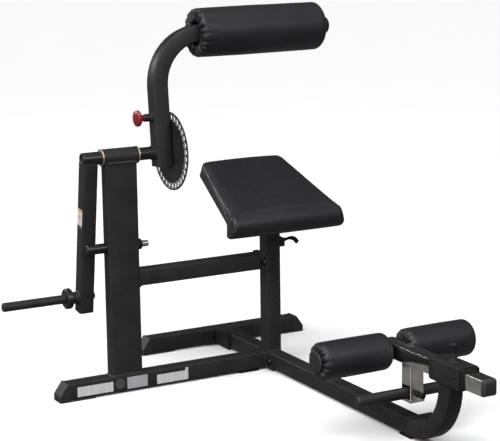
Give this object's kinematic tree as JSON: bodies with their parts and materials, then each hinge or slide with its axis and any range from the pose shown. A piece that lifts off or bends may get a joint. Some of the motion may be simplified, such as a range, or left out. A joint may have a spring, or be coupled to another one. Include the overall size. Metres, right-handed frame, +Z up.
{
  "type": "roman chair",
  "caption": "Plate-loaded roman chair: sloping seat on a steel base, swinging arm with a padded torso roller, weight post, and a sliding leg holder with calf rollers and a foot bar.",
  "frame": {"origin": "on the floor, in the middle of the footprint's bounding box", "axes": "+Z up, +Y from the leg holder to the rear foot, +X from the weight side to the seat's right side, along the pivot axle"},
  "size_m": [1.1634, 1.5082, 1.1364],
  "materials": {
    "powder_coat": "satin",
    "black_plastic": "satin moulded",
    "rubber": "matte",
    "bronze": "satin",
    "chrome": "satin nickel",
    "zinc": "zinc plated",
    "red_plastic": "gloss",
    "vinyl": "upholstery vinyl, fine grain",
    "wood": "raw plywood"
  },
  "bodies": {
    "frame": {"rear_foot": "powder_coat", "rear_cap_left": "black_plastic", "rear_cap_right": "black_plastic", "front_foot": "powder_coat", "front_cap": "black_plastic", "front_pad": "rubber", "main_beam": "powder_coat", "beam_pad": "rubber", "rear_bracket": "powder_coat", "upright": "powder_coat", "pivot_housing": "powder_coat", "bushing_right": "bronze", "bushing_left": "bronze", "stop_rod": "chrome", "stop_sleeve": "rubber", "crossbar": "powder_coat", "seat_post": "powder_coat", "seat_post_collar": "black_plastic", "lever_bracket": "powder_coat", "lever_pin": "zinc", "leg_upright": "powder_coat", "slide_sleeve": "powder_coat", "sleeve_bush_front": "black_plastic", "sleeve_bush_rear": "black_plastic", "leg_pin_barrel": "powder_coat"},
    "lever": {"axle": "powder_coat", "weight_arm": "powder_coat", "weight_arm_plug": "black_plastic", "weight_post": "powder_coat", "post_hub": "powder_coat", "post_bumper": "rubber", "post_bolt": "zinc", "selector_disc": "powder_coat", "axle_nut": "zinc"},
    "roller_arm": {"roller_arm": "powder_coat", "arm_hub": "powder_coat", "arm_pin_barrel": "powder_coat", "roller_shaft": "zinc", "roller_end_cap": "black_plastic"},
    "arm_pin": {"arm_pin": "zinc", "arm_pin_knob": "red_plastic"},
    "upper_roller": {"upper_roller_core": "black_plastic", "upper_roller": "vinyl"},
    "seat": {"seat_pad": "vinyl", "seat_board": "wood", "seat_inner_post": "powder_coat"},
    "seat_lever": {"seat_lever": "black_plastic"},
    "leg_slide": {"slide_tube": "chrome", "slide_cap": "black_plastic", "foot_bracket": "chrome", "foot_bar": "powder_coat", "foot_bar_bolt": "black_plastic", "roller_axle": "zinc"},
    "leg_pin": {"leg_pin": "zinc", "leg_pin_knob": "black_plastic"},
    "calf_left": {"calf_spool_left": "black_plastic", "calf_roller_left": "vinyl"},
    "calf_right": {"calf_spool_right": "black_plastic", "calf_roller_right": "vinyl"}
  },
  "joints": [
    {"name": "lever_swing", "type": "hinge", "parent": "frame", "child": "lever", "pos_m": [-0.22465, 0.39215, 0.718], "axis": [1, 0, 0], "range_deg": [0, 75]},
    {"name": "start_angle", "type": "hinge", "parent": "lever", "child": "roller_arm", "pos_m": [-0.22465, 0.39215, 0.718], "axis": [1, 0, 0], "range_deg": [-33.75, 45]},
    {"name": "arm_pin_pull", "type": "slide", "parent": "roller_arm", "child": "arm_pin", "axis": [-1, 0, 0], "range_m": [0, 0.012], "stiffness_N_per_m": 800, "springref_m": -0.015},
    {"name": "upper_roller_spin", "type": "hinge", "parent": "roller_arm", "child": "upper_roller", "pos_m": [0.25985, 0.42231, 1.06268], "axis": [1, 0, 0], "continuous": true},
    {"name": "seat_height", "type": "slide", "parent": "frame", "child": "seat", "axis": [0, 0, 1], "range_m": [0, 0.1]},
    {"name": "seat_lever_lift", "type": "hinge", "parent": "frame", "child": "seat_lever", "pos_m": [0.31935, 0.39215, 0.398], "axis": [0, -1, 0], "range_deg": [0, 20], "stiffness_Nm_per_rad": 0.6, "springref_deg": -17.19},
    {"name": "leg_slide", "type": "slide", "parent": "frame", "child": "leg_slide", "axis": [0, -1, 0], "range_m": [-0.07, 0.07]},
    {"name": "leg_pin_pull", "type": "slide", "parent": "frame", "child": "leg_pin", "axis": [0, 0, 1], "range_m": [0, 0.012], "stiffness_N_per_m": 800, "springref_m": -0.015},
    {"name": "calf_left_spin", "type": "hinge", "parent": "leg_slide", "child": "calf_left", "pos_m": [0.14185, -0.30885, 0.223], "axis": [1, 0, 0], "continuous": true},
    {"name": "calf_right_spin", "type": "hinge", "parent": "leg_slide", "child": "calf_right", "pos_m": [0.42085, -0.30885, 0.223], "axis": [1, 0, 0], "continuous": true}
  ]
}
